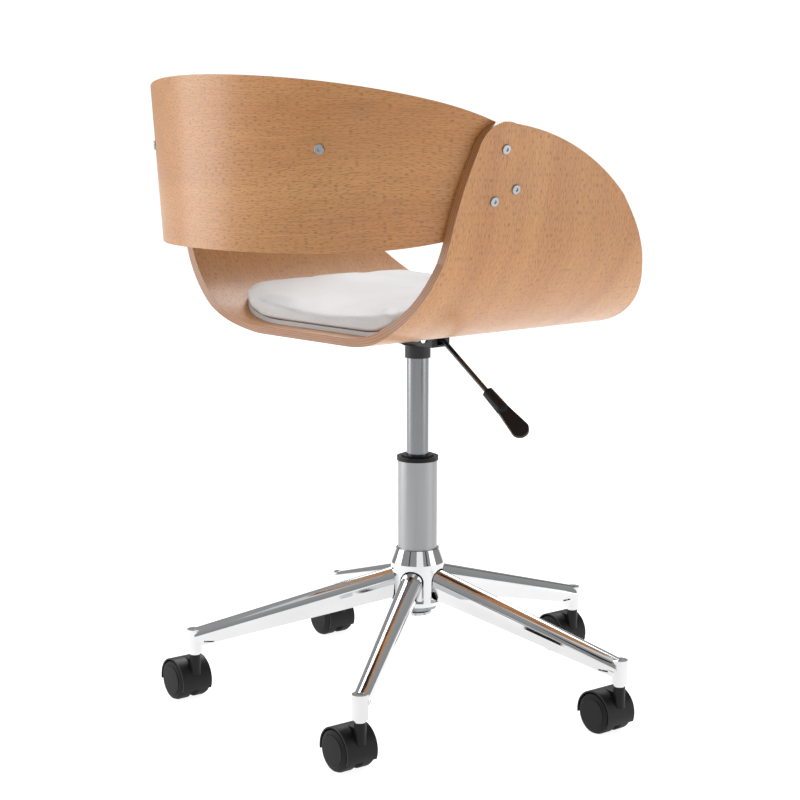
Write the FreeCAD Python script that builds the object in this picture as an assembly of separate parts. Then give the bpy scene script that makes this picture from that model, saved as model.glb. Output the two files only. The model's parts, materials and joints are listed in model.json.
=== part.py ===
import FreeCAD, Part
import math
import os

# Bankers swivel chair on a five-leg base with twin-wheel casters, a gas lift,
# a bent plywood seat shell with raised wings and a bent plywood back band.
# Millimetres, +Z up. The origin is on the floor under the column axis.
# The chair faces -Y, so its own right side is -X, where the lift lever is.

V = FreeCAD.Vector
UP = V(0, 0, 1)

# Fits
fixed_gap = 0.02
running_gap = 0.05
seat_gap = 0.3
wheel_side_gap = 0.5
wheel_hood_gap = 0.9

# Base and its legs
leg_count = 5
first_leg_angle = -91.65
stem_circle_radius = 285.7
leg_root_inset = 5.0
leg_root_centre = 161.0
leg_root_radius = 14.0
leg_root_lip = 6.0
leg_root_depth = 19.0
leg_root_sole = 15.0
leg_tip_centre = 86.0
leg_tip_radius = 10.5
leg_tip_lip = 2.5
leg_tip_depth = 11.0
leg_lip_step = 1.0
leg_wall = 2.2
drain_slot_length = 13.0
drain_slot_height = 2.2
drain_slot_from_stem = 12.0
socket_radius = 9.7
socket_bottom = 66.0
socket_height = 29.5
socket_cap = 2.5
sleeve_radius = 7.6

# Hub
hub_bottom = 124.0
hub_foot_radius = 27.5
hub_foot_rise = 7.0
hub_waist_radius = 33.2
hub_shoulder_radius = 34.2
hub_shoulder_height = 56.0
hub_height = 74.0
hub_top_radius = 27.5
hub_sleeve_wall = 2.4
pocket_gap = 1.2

# Caster stem
stem_radius = 5.5
stem_pin_radius = 4.0
stem_pin_bottom = 47.0
stem_ring_radius = 6.6
stem_ring_height = 3.6
stem_top_recess = 2.0

# Twin-wheel casters
caster_trail = 22.7
caster_heading = -4.65
wheel_radius = 25.5
wheel_width = 19.5
wheel_edge_round = 1.6
wheel_shoulder = 4.6
cap_radius = 19.6
cap_rise = 1.2
web_half_width = 3.6
hood_wall = 1.9
hood_half_width = 21.2
hood_rear_drop = 8.0
hood_front_drop = 23.0
hood_boss_radius = 7.2
hood_boss_top = 62.0
hood_boss_bottom = 36.0
axle_radius = 3.0
axle_boss_radius = 7.0
axle_end_cover = 5.5

# Column tube and its guide bush
column_radius = 25.0
column_wall = 1.8
column_top = 312.0
column_foot_radius = 24.2
column_foot_drop = 5.0
column_floor = 3.0
column_neck_radius = 14.0
column_neck_drop = 4.0
bush_length = 87.0
collar_radius = 26.5
collar_height = 5.2
collar_step_radius = 20.5
collar_step_height = 2.2

# Gas lift
cylinder_radius = 14.0
cylinder_wall = 1.6
cylinder_bottom = 250.0
cylinder_end_wall = 6.5
cylinder_top_radius = 13.2
lift_rod_radius = 5.0
lift_rod_collar_radius = 6.5
rod_tail = 2.0
piston_height = 10.0
piston_clearance = 0.1
piston_travel_gap = 4.0
guide_height = 11.5
guide_recess = 0.5
valve_height = 15.9
button_radius = 4.0
button_rise = 4.7
button_tail = 12.0
button_travel = 4.0
race_radius = 20.0
race_height = 5.5
washer_height = 3.0
cushion_ring_radius = 12.0
cushion_ring_height = 8.5
clip_radius = 17.5
clip_height = 3.4

# Seat plate under the shell
plate_size = 150.0
plate_thickness = 3.0
plate_corner = 12.0
plate_screw_spacing = 120.0
box_front_x = 24.0
box_lever_x = 42.0
box_half_depth = 15.0
box_wall = 2.5
box_drop = 15.1
mouth_radius = 16.15
mouth_drop = 17.0
mouth_flare_radius = 20.5
mouth_flare_height = 2.5
screw_radius = 3.0
screw_head_radius = 5.5
screw_head_height = 3.0
t_nut_radius = 4.0
t_nut_flange_radius = 9.0
t_nut_flange = 1.5
t_nut_length = 11.0

# Lift lever
pivot_x = -28.0
pivot_below_plate = 8.1
pin_radius = 3.0
pin_head_radius = 4.5
pin_head_height = 2.0
eye_radius = 5.5
eye_half_length = 6.0
tab_half_width = 5.0
tab_thickness = 4.0
tab_past_button = 4.5
lever_rod_radius = 3.1
lever_bend_x = -45.0
lever_bend_radius = 12.0
lever_drop_angle = 35.0
lever_rod_length = 110.0
grip_overlap = 12.0
grip_length = 78.0
grip_neck_radius = 8.0
grip_start_radius = 7.0
grip_neck_length = 30.0
grip_half_width = 11.0
grip_thickness = 7.4
grip_tip_thickness = 4.6
grip_twist = 35.0

# Bent seat shell: a trough whose wings splay towards the front
ply = 10.5
shell_bottom = 480.6
flat_half = 82.3
flat_taper = 0.0155
bend_radius = 188.1
bend_taper = 0.072
wing_lean = 12.0
stock_front = -265.0
stock_rear = 235.0
wing_stock = 190.0
shell_front = -205.0
wing_front = (-137.0, 566.0)
wing_brow = (-103.0, 612.0)
wing_crest = (-67.0, 655.0)
wing_crown = (16.0, 708.0)
wing_shoulder = (114.0, 735.5)
wing_corner = (149.0, 730.0)
wing_back = (161.5, 708.0)
wing_nape = (176.0, 650.0)
shell_rear = 182.0
shell_waist = 585.0
shell_small = (187.0, 548.0)
shell_heel = (192.3, 508.0)
shell_ankle = (190.3, 495.5)
shell_foot = (183.5, 483.0)

# Bent back band, bolted inside the wings
band_ply = 10.0
band_back = 327.7
band_back_radius = 284.5
band_back_level = 690.0
band_back_flare = 0.362
band_corner_radius = 139.2
band_stock_bottom = 585.0
band_stock_top = 800.0
band_stages = 4
band_back_top = 788.8
band_back_bottom = 596.9
band_middle = 195.0
band_middle_top = 757.1
band_middle_bottom = 605.3
band_end = 44.0
band_end_top = 704.8
band_end_bottom = 647.9
band_end_round = 14.0

# Bolts through the wings and the back band
bolt_radius = 3.0
bolt_head_radius = 5.5
bolt_head_height = 2.0
hex_socket_radius = 2.3
hex_socket_depth = 1.2
sleeve_nut_radius = 4.0
sleeve_nut_head_radius = 6.5
sleeve_nut_head = 1.6
upper_bolt = (123.5, 708.3)
front_bolt = (100.2, 664.5)
rear_bolt = (128.5, 652.0)
back_bolt_angle = 31.9
back_bolt_height = 708.6

# Seat pad
board_thickness = 5.0
board_inset = 9.0
pad_half_width = 194.0
pad_front = -186.0
pad_rear = 173.0
pad_corner = 72.0
pad_draft = 0.2
pad_centre_thickness = 22.0
pad_end_drop = 6.0
pad_hollow_radius = 950.0

# Back pad
back_board_thickness = 6.0
back_board_gap = 0.2
back_board_half_angle = 39.0
back_pad_half_angle = 41.0
back_pad_bottom = 618.0
back_pad_height = 142.0
back_pad_thickness = 26.0
back_pad_edge = 9.0
back_pad_corner = 34.0
back_pad_rim = 0.55
back_pad_stages = 6

column_foot = hub_bottom - column_foot_drop
hub_top = hub_bottom + hub_height
plate_bottom = shell_bottom - plate_thickness
box_bottom = plate_bottom - box_drop - box_wall
box_floor = box_bottom + box_wall
mouth_bottom = box_bottom - mouth_drop
pivot_z = plate_bottom - pivot_below_plate
axle_z = wheel_radius
leg_angles = [first_leg_angle + 360.0 / leg_count * i for i in range(leg_count)]
shell_z_seat = shell_bottom + ply


def tangent(degrees):
    return math.tan(math.radians(degrees))


def sine(degrees):
    return math.sin(math.radians(degrees))


def cosine(degrees):
    return math.cos(math.radians(degrees))


def line(a, b):
    return Part.LineSegment(a, b).toShape()


def arc(a, b, c):
    return Part.Arc(a, b, c).toShape()


def wire_through(points):
    return Part.makePolygon(points + [points[0]])


def turned(points):
    """Solid of revolution about Z from (radius, height) corners."""
    face = Part.Face(wire_through([V(r, 0, z) for r, z in points]))
    return face.revolve(V(0, 0, 0), UP, 360)


def disc(radius, bottom, top):
    return Part.makeCylinder(radius, top - bottom, V(0, 0, bottom))


def ring(outer, inner, bottom, top):
    return disc(outer, bottom, top).cut(disc(inner, bottom - 1, top + 1))


def block(x0, x1, y0, y1, z0, z1):
    return Part.makeBox(x1 - x0, y1 - y0, z1 - z0, V(x0, y0, z0))


def moved(shape, place, direction=UP):
    """Copy of a shape made along +Z, set at a place and aimed in a direction."""
    copy = shape.copy()
    copy.Placement = FreeCAD.Placement(place, FreeCAD.Rotation(UP, direction))
    return copy


def turned_copy(shape, degrees, shift=V(0, 0, 0)):
    copy = shape.copy()
    copy.rotate(V(0, 0, 0), UP, degrees)
    copy.translate(shift)
    return copy


def at_stem(leg_angle):
    return V(stem_circle_radius * cosine(leg_angle), stem_circle_radius * sine(leg_angle), 0)


def hexagon(radius, height):
    corners = [V(radius * cosine(60 * k), radius * sine(60 * k), 0) for k in range(6)]
    return Part.Face(wire_through(corners)).extrude(V(0, 0, height))


# Base
def leg_polygon(x, centre, radius, lip, depth, sole):
    """Straight part of a leg's section: short flanks, a stepped lip, then a narrowing sole."""
    half = radius
    corners = [
        (half, centre),
        (half, centre - lip),
        (half - leg_lip_step, centre - lip),
        (sole / 2, centre - lip - depth),
    ]
    right = [V(x, y, z) for y, z in corners]
    left = [V(x, -y, z) for y, z in reversed(corners)]
    return wire_through(right + left)


leg_root_x = column_radius + hub_sleeve_wall - leg_root_inset
leg_root_taper = (leg_root_radius - leg_lip_step - leg_root_sole / 2) / leg_root_depth
leg_tip_sole = 2 * (leg_tip_radius - leg_lip_step - leg_root_taper * leg_tip_depth)


def leg_form(skin):
    """Tapered leg along +X, round above and narrow below, taken in by a skin thickness."""
    root = V(leg_root_x, 0, leg_root_centre)
    tip = V(stem_circle_radius, 0, leg_tip_centre)
    along = tip - root
    top = Part.makeCone(leg_root_radius - skin, leg_tip_radius - skin, along.Length, root, along)
    root_line = leg_polygon(
        root.x,
        root.z,
        leg_root_radius - skin,
        leg_root_lip - skin / 2,
        leg_root_depth - skin,
        leg_root_sole - skin,
    )
    tip_line = leg_polygon(
        tip.x,
        tip.z,
        leg_tip_radius - skin,
        leg_tip_lip - skin / 2,
        leg_tip_depth - skin,
        leg_tip_sole - skin,
    )
    below = Part.makeLoft([root_line, tip_line], True, True)
    return top.fuse(below)


def make_leg():
    """Hollow tapered leg with its caster socket welded into the tip."""
    slot_x = stem_circle_radius - drain_slot_from_stem
    slot_z = leg_tip_centre - leg_tip_depth * 0.6
    slot_reach = leg_root_radius
    slot = block(
        slot_x - drain_slot_length, slot_x, -slot_reach, slot_reach, slot_z, slot_z + drain_slot_height
    )
    column_space = disc(column_radius + hub_sleeve_wall + fixed_gap, 0, column_top)
    leg = leg_form(0).cut(leg_form(leg_wall)).cut(slot).cut(column_space)
    socket = disc(socket_radius, socket_bottom, socket_bottom + socket_height)
    socket.translate(V(stem_circle_radius, 0, 0))
    past_socket = block(stem_circle_radius, 2 * stem_circle_radius, -50, 50, 0, column_top)
    bore = disc(sleeve_radius, socket_bottom - 1, socket_bottom + socket_height - socket_cap)
    bore.translate(V(stem_circle_radius, 0, 0))
    return leg.cut(past_socket).fuse(socket).cut(bore).removeSplitter()


def make_stem_sleeve():
    top = socket_bottom + socket_height - socket_cap - seat_gap
    return ring(sleeve_radius - fixed_gap, stem_radius + fixed_gap, socket_bottom + seat_gap, top)


def make_stem():
    """Steel stem: upper grip in the sleeve, a ring under the socket, a pin for the caster."""
    ring_bottom = socket_bottom - stem_ring_height
    top = socket_bottom + socket_height - socket_cap - stem_top_recess
    upper = disc(stem_radius, ring_bottom, top)
    collar = disc(stem_ring_radius, ring_bottom, socket_bottom)
    pin = disc(stem_pin_radius, stem_pin_bottom, ring_bottom)
    return upper.fuse([collar, pin]).removeSplitter()


def make_hub():
    top_bore = column_radius + fixed_gap
    drop_share = hub_height / (hub_height + column_foot_drop)
    foot_bore = column_radius - (column_radius - column_foot_radius) * drop_share + fixed_gap
    body = turned(
        [
            (foot_bore, hub_bottom),
            (hub_foot_radius, hub_bottom),
            (hub_waist_radius, hub_bottom + hub_foot_rise),
            (hub_shoulder_radius, hub_bottom + hub_shoulder_height),
            (hub_top_radius, hub_top),
            (top_bore, hub_top),
        ]
    )
    sleeve = disc(column_radius + hub_sleeve_wall, 0, column_top)
    root = V(leg_root_x, 0, leg_root_centre)
    along = V(stem_circle_radius, 0, leg_tip_centre) - root
    reach = hub_shoulder_radius + 10 - leg_root_x
    half = leg_root_radius + pocket_gap
    arch = Part.makeCylinder(half, reach, root, along)
    below = block(root.x, root.x + reach, -half, half, hub_bottom + hub_foot_rise, root.z)
    fall = reach * along.z / along.x
    slope = wire_through([root, root + V(reach, 0, 0), root + V(reach, 0, fall)])
    above = Part.Face(slope).extrude(V(0, 2 * half, 0))
    above.translate(V(0, -half, 0))
    pocket = below.cut(above).fuse(arch).cut(sleeve)
    return body.cut([turned_copy(pocket, angle) for angle in leg_angles])


# Casters, made with the stem axis at the origin, trailing towards +X
def make_caster_body():
    hood_radius = wheel_radius + wheel_hood_gap + hood_wall
    centre = V(caster_trail, 0, axle_z)
    far = 3 * hood_radius
    along = V(0, 1, 0)
    hood = Part.makeCylinder(hood_radius, 2 * hood_half_width, centre - along * hood_half_width, along)
    rear_edge = centre + V(far * cosine(hood_rear_drop), 0, -far * sine(hood_rear_drop))
    front_edge = centre + V(-far * cosine(hood_front_drop), 0, -far * sine(hood_front_drop))
    below = [rear_edge, V(rear_edge.x, 0, -far), V(front_edge.x, 0, -far), front_edge, centre]
    wedge = Part.Face(wire_through([p - along * far for p in below])).extrude(along * (2 * far))
    hood = hood.cut(wedge)
    boss = disc(hood_boss_radius, hood_boss_bottom, hood_boss_top)
    gusset = block(0, caster_trail, -web_half_width, web_half_width, hood_boss_bottom, axle_z + hood_radius)
    wheel_space = wheel_radius + wheel_hood_gap
    body = hood.fuse([boss, gusset])
    for side in (1, -1):
        start = centre + along * (side * web_half_width)
        body = body.cut(Part.makeCylinder(wheel_space, far, start, along * side))
    web_side = centre - along * web_half_width
    axle_boss = Part.makeCylinder(axle_boss_radius, 2 * web_half_width, web_side, along)
    axle_bore = Part.makeCylinder(axle_radius + fixed_gap, far, centre - along * (far / 2), along)
    pin_bore = disc(stem_pin_radius + running_gap, stem_pin_bottom - seat_gap, hood_boss_top + 1)
    return body.fuse(axle_boss).cut([axle_bore, pin_bore]).removeSplitter()


def make_axle():
    half = web_half_width + wheel_side_gap + wheel_width - axle_end_cover
    return Part.makeCylinder(axle_radius, 2 * half, V(caster_trail, -half, axle_z), V(0, 1, 0))


def make_wheel(side):
    """One wheel of a twin caster: a bevelled tread, a stepped cap and a blind bore."""
    bore = axle_radius + running_gap
    bore_depth = wheel_width - axle_end_cover + seat_gap
    edge = wheel_edge_round
    face = wheel_width - cap_rise
    wheel = turned(
        [
            (bore, 0),
            (wheel_radius - edge, 0),
            (wheel_radius, edge),
            (wheel_radius, face - wheel_shoulder),
            (wheel_radius - wheel_shoulder * 0.3, face - wheel_shoulder * 0.3),
            (wheel_radius - wheel_shoulder, face),
            (cap_radius, face),
            (cap_radius - cap_rise, wheel_width),
            (0, wheel_width),
            (0, bore_depth),
            (bore, bore_depth),
        ]
    )
    inner = web_half_width + wheel_side_gap
    return moved(wheel, V(caster_trail, side * inner, axle_z), V(0, side, 0))


# Column and gas lift
def make_column_tube():
    inner_top = column_radius - column_wall
    inner_foot = column_foot_radius - column_wall
    hole = lift_rod_radius + 3 * running_gap
    return turned(
        [
            (inner_top, column_top),
            (column_radius, column_top),
            (column_radius, hub_top),
            (column_foot_radius, column_foot),
            (column_neck_radius, column_foot),
            (column_neck_radius, column_foot - column_neck_drop),
            (hole, column_foot - column_neck_drop),
            (hole, column_foot + column_floor),
            (inner_foot, column_foot + column_floor),
            (inner_top, hub_top),
        ]
    )


def make_column_bush():
    """Black guide bush pressed into the tube, with the collar that shows on top."""
    inner = cylinder_radius + running_gap
    outer = column_radius - column_wall - fixed_gap
    return turned(
        [
            (inner, column_top - bush_length),
            (outer, column_top - bush_length),
            (outer, column_top + fixed_gap),
            (collar_radius, column_top + fixed_gap),
            (collar_radius, column_top + collar_height),
            (collar_step_radius, column_top + collar_height),
            (collar_step_radius, column_top + collar_height + collar_step_height),
            (inner, column_top + collar_height + collar_step_height),
        ]
    )


race_bottom = column_foot + column_floor
washer_bottom = race_bottom + race_height + seat_gap
collar_bottom = washer_bottom + washer_height
rod_top = cylinder_bottom + guide_recess + guide_height + piston_travel_gap + piston_height
clip_top = column_foot - column_neck_drop - seat_gap
cylinder_top = box_floor


def make_thrust_bearing():
    return ring(race_radius, lift_rod_radius + 3 * running_gap, race_bottom, race_bottom + race_height)


def make_bearing_washer():
    return ring(race_radius, lift_rod_radius + fixed_gap, washer_bottom, collar_bottom)


def make_lift_rod():
    lower = disc(lift_rod_radius, clip_top - clip_height - rod_tail, collar_bottom)
    collar = disc(lift_rod_collar_radius, collar_bottom, collar_bottom + cushion_ring_height)
    upper = disc(lift_rod_radius, collar_bottom + cushion_ring_height, rod_top)
    return lower.fuse([collar, upper]).removeSplitter()


def make_stop_cushion():
    top = collar_bottom + cushion_ring_height
    return ring(cushion_ring_radius, lift_rod_collar_radius + fixed_gap, collar_bottom + fixed_gap, top)


def make_clip():
    return ring(clip_radius, lift_rod_radius + fixed_gap, clip_top - clip_height, clip_top)


def make_piston():
    outer = cylinder_radius - cylinder_wall - piston_clearance
    return ring(outer, lift_rod_radius + fixed_gap, rod_top - piston_height, rod_top)


def make_gas_cylinder():
    inner = cylinder_radius - cylinder_wall
    return turned(
        [
            (inner, cylinder_bottom),
            (cylinder_radius, cylinder_bottom),
            (cylinder_radius, mouth_bottom),
            (cylinder_top_radius, cylinder_top),
            (button_radius + running_gap, cylinder_top),
            (button_radius + running_gap, cylinder_top - cylinder_end_wall),
            (inner - 1, cylinder_top - cylinder_end_wall),
            (inner - 1, mouth_bottom - 1),
            (inner, mouth_bottom - 2),
        ]
    )


def make_rod_guide():
    bottom = cylinder_bottom + guide_recess
    outer = cylinder_radius - cylinder_wall - fixed_gap
    return ring(outer, lift_rod_radius + running_gap, bottom, bottom + guide_height)


def make_valve_block():
    top = cylinder_top - cylinder_end_wall - fixed_gap
    outer = cylinder_radius - cylinder_wall - 1 - fixed_gap
    block_solid = disc(outer, top - valve_height, top)
    bore_bottom = cylinder_top - cylinder_end_wall - button_tail - button_travel - seat_gap
    return block_solid.cut(disc(button_radius + running_gap, bore_bottom, top + 1))


def make_button():
    bottom = cylinder_top - cylinder_end_wall - button_tail
    return disc(button_radius, bottom, cylinder_top + button_rise)


# Seat plate
def screw_points():
    half = plate_screw_spacing / 2
    return [V(x, y, 0) for x in (-half, half) for y in (-half, half)]


def make_seat_plate():
    """Pressed plate with a channel for the lever and a taper mouth for the lift."""
    half = plate_size / 2
    plate = block(-half, half, -half, half, plate_bottom, shell_bottom)
    corners = [e for e in plate.Edges if abs(e.Vertexes[0].Z - e.Vertexes[1].Z) > plate_thickness / 2]
    plate = plate.makeFillet(plate_corner, corners)
    channel = block(-box_lever_x, box_front_x, -box_half_depth, box_half_depth, box_bottom, plate_bottom)
    mouth = turned(
        [
            (0, mouth_bottom),
            (mouth_radius, mouth_bottom),
            (mouth_radius, box_bottom - mouth_flare_height),
            (mouth_flare_radius, box_bottom),
            (0, box_bottom),
        ]
    )
    inside = block(
        -box_lever_x + box_wall,
        box_front_x - box_wall,
        -box_half_depth + box_wall,
        box_half_depth - box_wall,
        box_floor,
        plate_bottom,
    )
    slot_half = eye_half_length
    slot = block(-box_lever_x - 1, 0, -slot_half, slot_half, box_floor, plate_bottom)
    taper = turned(
        [
            (0, mouth_bottom - 1),
            (cylinder_radius + fixed_gap, mouth_bottom - 1),
            (cylinder_radius + fixed_gap, mouth_bottom),
            (cylinder_top_radius + fixed_gap, cylinder_top),
            (0, cylinder_top),
        ]
    )
    along = V(0, 1, 0)
    pin_hole = Part.makeCylinder(
        pin_radius + fixed_gap, 4 * box_half_depth, V(pivot_x, -2 * box_half_depth, pivot_z), along
    )
    shape = plate.fuse([channel, mouth]).cut(inside).cut([slot, taper, pin_hole])
    holes = [disc(screw_radius + running_gap, box_bottom, shell_bottom + 1) for _ in range(4)]
    for hole, point in zip(holes, screw_points()):
        hole.translate(point)
    return shape.cut(holes).removeSplitter()


t_nut_top = shell_z_seat + board_thickness
t_nut_bottom = t_nut_top - t_nut_length


def make_plate_screw():
    head_bottom = plate_bottom - screw_head_height
    head = disc(screw_head_radius, head_bottom, plate_bottom)
    head = head.cut(moved(hexagon(hex_socket_radius, hex_socket_depth + 1), V(0, 0, head_bottom - 1)))
    shank = disc(screw_radius, plate_bottom, t_nut_top - t_nut_flange)
    return head.fuse(shank).removeSplitter()


def make_t_nut():
    barrel = disc(t_nut_radius, t_nut_bottom, t_nut_top - t_nut_flange)
    flange = disc(t_nut_flange_radius, t_nut_top - t_nut_flange, t_nut_top)
    bore = disc(screw_radius + fixed_gap, t_nut_bottom - 1, t_nut_top - t_nut_flange + fixed_gap)
    return barrel.fuse(flange).cut(bore)


def at_screws(shape):
    return Part.makeCompound([turned_copy(shape, 0, point) for point in screw_points()])


# Lift lever
lever_down = V(-cosine(lever_drop_angle), 0, -sine(lever_drop_angle))
lever_corner = V(lever_bend_x, 0, pivot_z)
rod_end = lever_corner + lever_down * lever_rod_length


def make_lever_rod():
    """Bent rod with the eye on its pin and the tab that presses the lift's button."""
    along = V(0, 1, 0)
    trim = lever_bend_radius * tangent(lever_drop_angle / 2)
    start = V(pivot_x, 0, pivot_z)
    bend_in = lever_corner + V(trim, 0, 0)
    bend_out = lever_corner + lever_down * trim
    centre = bend_in - V(0, 0, lever_bend_radius)
    turn = lever_drop_angle / 2
    bend_mid = centre + V(-lever_bend_radius * sine(turn), 0, lever_bend_radius * cosine(turn))
    path = Part.Wire([line(start, bend_in), arc(bend_in, bend_mid, bend_out), line(bend_out, rod_end)])
    section = Part.Wire([Part.makeCircle(lever_rod_radius, start, V(1, 0, 0))])
    rod = path.makePipeShell([section], True, False)
    eye_start = V(pivot_x, -eye_half_length + seat_gap, pivot_z)
    eye = Part.makeCylinder(eye_radius, 2 * (eye_half_length - seat_gap), eye_start, along)
    tab_low = pivot_z - tab_thickness / 2
    tab = block(pivot_x, tab_past_button, -tab_half_width, tab_half_width, tab_low, tab_low + tab_thickness)
    bore = Part.makeCylinder(
        pin_radius + running_gap, 4 * eye_half_length, V(pivot_x, -2 * eye_half_length, pivot_z), along
    )
    return rod.fuse([eye, tab]).cut(bore).removeSplitter()


def make_lever_grip():
    """Paddle moulded over the rod's end: a round neck and a flat, twisted blade."""
    neck = grip_neck_radius
    length = grip_length
    wide = grip_half_width
    neck_solid = Part.makeCone(grip_start_radius, neck, grip_neck_length)
    knuckle = Part.makeSphere(neck, V(0, 0, grip_neck_length))

    def at(x, z):
        return V(x, 0, z)

    start = grip_neck_length - neck / 2
    shoulder = length - wide
    edges = [line(at(-neck * 0.8, start), at(neck * 0.8, start))]
    edges.append(line(at(neck * 0.8, start), at(wide, shoulder)))
    edges += [arc(at(wide, shoulder), at(0, length), at(-wide, shoulder))]
    edges.append(line(at(-wide, shoulder), at(-neck * 0.8, start)))
    blade = Part.Face(Part.Wire(edges)).extrude(V(0, 2 * neck, 0))
    blade.translate(V(0, -neck, 0))
    thick = grip_thickness / 2
    thin = grip_tip_thickness / 2
    side = wire_through(
        [V(-wide, -thick, start), V(-wide, thick, start), V(-wide, thin, length), V(-wide, -thin, length)]
    )
    blade = blade.common(Part.Face(side).extrude(V(2 * wide, 0, 0)))
    grip = neck_solid.fuse([knuckle, blade])
    hole = disc(lever_rod_radius + fixed_gap, -1, grip_overlap)
    grip = grip.cut(hole).removeSplitter()
    across = V(0, cosine(grip_twist), 0) + lever_down.cross(V(0, sine(grip_twist), 0))
    turn = FreeCAD.Rotation(across, lever_down.cross(across), lever_down)
    grip.Placement = FreeCAD.Placement(rod_end - lever_down * grip_overlap, turn)
    return grip


def make_lever_pin():
    along = V(0, 1, 0)
    length = 2 * box_half_depth + pin_head_height
    pin = Part.makeCylinder(pin_radius, length, V(pivot_x, -box_half_depth - pin_head_height, pivot_z), along)
    heads = [
        Part.makeCylinder(pin_head_radius, pin_head_height, V(pivot_x, y, pivot_z), along)
        for y in (-box_half_depth - pin_head_height, box_half_depth)
    ]
    return pin.fuse(heads).removeSplitter()


# Seat shell. Each bend is a cone that is tangent to the flat bottom and to a flat wing.
bend_length = bend_radius / bend_taper
bend_tip = V(flat_half - flat_taper * bend_length, bend_length, shell_bottom)
bend_line = V(flat_taper, -1, 0).normalize()
bend_line_length = bend_length * math.sqrt(1 + flat_taper ** 2)
bend_half_angle = math.degrees(math.atan(bend_radius / bend_line_length))
bend_axis = bend_line * cosine(bend_half_angle) + UP * sine(bend_half_angle)
bend_turn = 90.0 - wing_lean


def bend_point(y):
    """Where the flat bottom meets the bend, at a place along the chair's depth."""
    return bend_tip + bend_line * ((bend_tip.y - y) / -bend_line.y)


def bend_sector(depth):
    """Sector of the bend's cone at a depth inside the shell's outer face."""
    near = (bend_tip - bend_point(stock_rear)).Length / cosine(bend_half_angle)
    far = (bend_tip - bend_point(stock_front)).Length / cosine(bend_half_angle)
    slope = tangent(bend_half_angle)
    inset = depth / cosine(bend_half_angle)
    cone = Part.makeCone(near * slope - inset, far * slope - inset, far - near, V(0, 0, 0), UP, bend_turn)
    down = bend_line * sine(bend_half_angle) - UP * cosine(bend_half_angle)
    turn = FreeCAD.Rotation(down, bend_axis.cross(down), bend_axis)
    cone.Placement = FreeCAD.Placement(bend_tip + bend_axis * near, turn)
    return cone


def sheet(corners, outer_depth, inner_depth):
    face = Part.Face(wire_through(corners))
    face.translate(V(0, 0, outer_depth))
    return face.extrude(V(0, 0, inner_depth - outer_depth))


def trough_layer(outer_depth, inner_depth):
    """Layer of the trough between two depths inside its outer face."""
    front = bend_point(stock_front)
    rear = bend_point(stock_rear)
    flat = sheet([front, rear, mirrored(rear), mirrored(front)], outer_depth, inner_depth)
    outward = V(-bend_line.y, bend_line.x, 0) * wing_stock
    wing = sheet([front, rear, rear + outward, front + outward], outer_depth, inner_depth)
    wing.rotate(bend_tip, bend_axis, bend_turn)
    bend = bend_sector(outer_depth).cut(bend_sector(inner_depth))
    side = bend.fuse(wing)
    return flat.fuse([side, side.mirror(V(0, 0, 0), V(1, 0, 0))])


def mirrored(p):
    return V(-p.x, p.y, p.z)


wing_normal = FreeCAD.Rotation(bend_axis, bend_turn).multVec(-UP)


def wing_face(y, z, depth):
    """Half width of the flat wing at a depth inside its outer face."""
    fall = wing_normal.y * (y - bend_tip.y) + wing_normal.z * (z - bend_tip.z)
    return bend_tip.x - (depth + fall) / wing_normal.x


def side_prism(edges):
    """Prism across the chair from an outline drawn in the side view."""
    reach = 2 * stem_circle_radius
    face = Part.Face(Part.Wire(edges))
    face.translate(V(-reach / 2, 0, 0))
    return face.extrude(V(reach, 0, 0))


def side_point(place):
    return V(0, place[0], place[1])


def shell_outline():
    """Side view of the shell: a rounded wing over a rear edge that swells towards the seat."""
    below = shell_bottom - ply
    foot = side_point((shell_foot[0], below))
    toe = side_point((shell_front, below))
    lip = side_point((shell_front, shell_bottom))
    front = side_point(wing_front)
    crest = side_point(wing_crest)
    shoulder = side_point(wing_shoulder)
    back = side_point(wing_back)
    waist = side_point((shell_rear, shell_waist))
    heel = side_point(shell_heel)
    heel_end = side_point(shell_foot)
    return [
        line(toe, lip),
        line(lip, front),
        arc(front, side_point(wing_brow), crest),
        arc(crest, side_point(wing_crown), shoulder),
        arc(shoulder, side_point(wing_corner), back),
        arc(back, side_point(wing_nape), waist),
        arc(waist, side_point(shell_small), heel),
        arc(heel, side_point(shell_ankle), heel_end),
        line(heel_end, foot),
        line(foot, toe),
    ]


def make_seat_shell_blank():
    return trough_layer(0, ply).common(side_prism(shell_outline()))


# Back band
def back_radius(z):
    """Radius of the round back at a height; it opens upwards."""
    return band_back_radius + band_back_flare * (z - band_back_level)


def back_axis(z):
    return V(0, band_back - back_radius(z), z)


def back_core(levels):
    """Solid inside the round back, from (height, depth inside its outer face) levels."""
    rings = [Part.Wire([Part.makeCircle(back_radius(z) - depth, back_axis(z), UP)]) for z, depth in levels]
    return Part.makeLoft(rings, True, True)


def band_side(z):
    """A point and a direction of the band's straight side at a height, on the wing's inside."""
    y0, y1 = band_end, shell_rear
    x0 = wing_face(y0, z, ply)
    x1 = wing_face(y1, z, ply)
    direction = V(x1 - x0, y1 - y0, 0)
    return V(x0, y0, z), direction.normalize()


def band_chain(z, depth):
    """Corner points of half the band's plan line: side start, side end, bend, back."""
    start, along = band_side(z)
    inward = V(-along.y, along.x, 0)
    centre = back_axis(z)
    rest = start + inward * band_corner_radius - centre
    reach = rest.dot(along)
    gap = (back_radius(z) - band_corner_radius) ** 2 - rest.dot(rest) + reach ** 2
    run = -reach + math.sqrt(gap)
    corner_centre = centre + rest + along * run
    toward = (corner_centre - centre).normalize()
    r = band_corner_radius - depth
    side_start = start + inward * depth - along * band_ply
    side_end = corner_centre - inward * r
    joint = centre + toward * (back_radius(z) - depth)
    middle = corner_centre + (toward - inward).normalize() * r
    back = centre + V(0, back_radius(z) - depth, 0)
    return side_start, side_end, middle, joint, back


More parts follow.
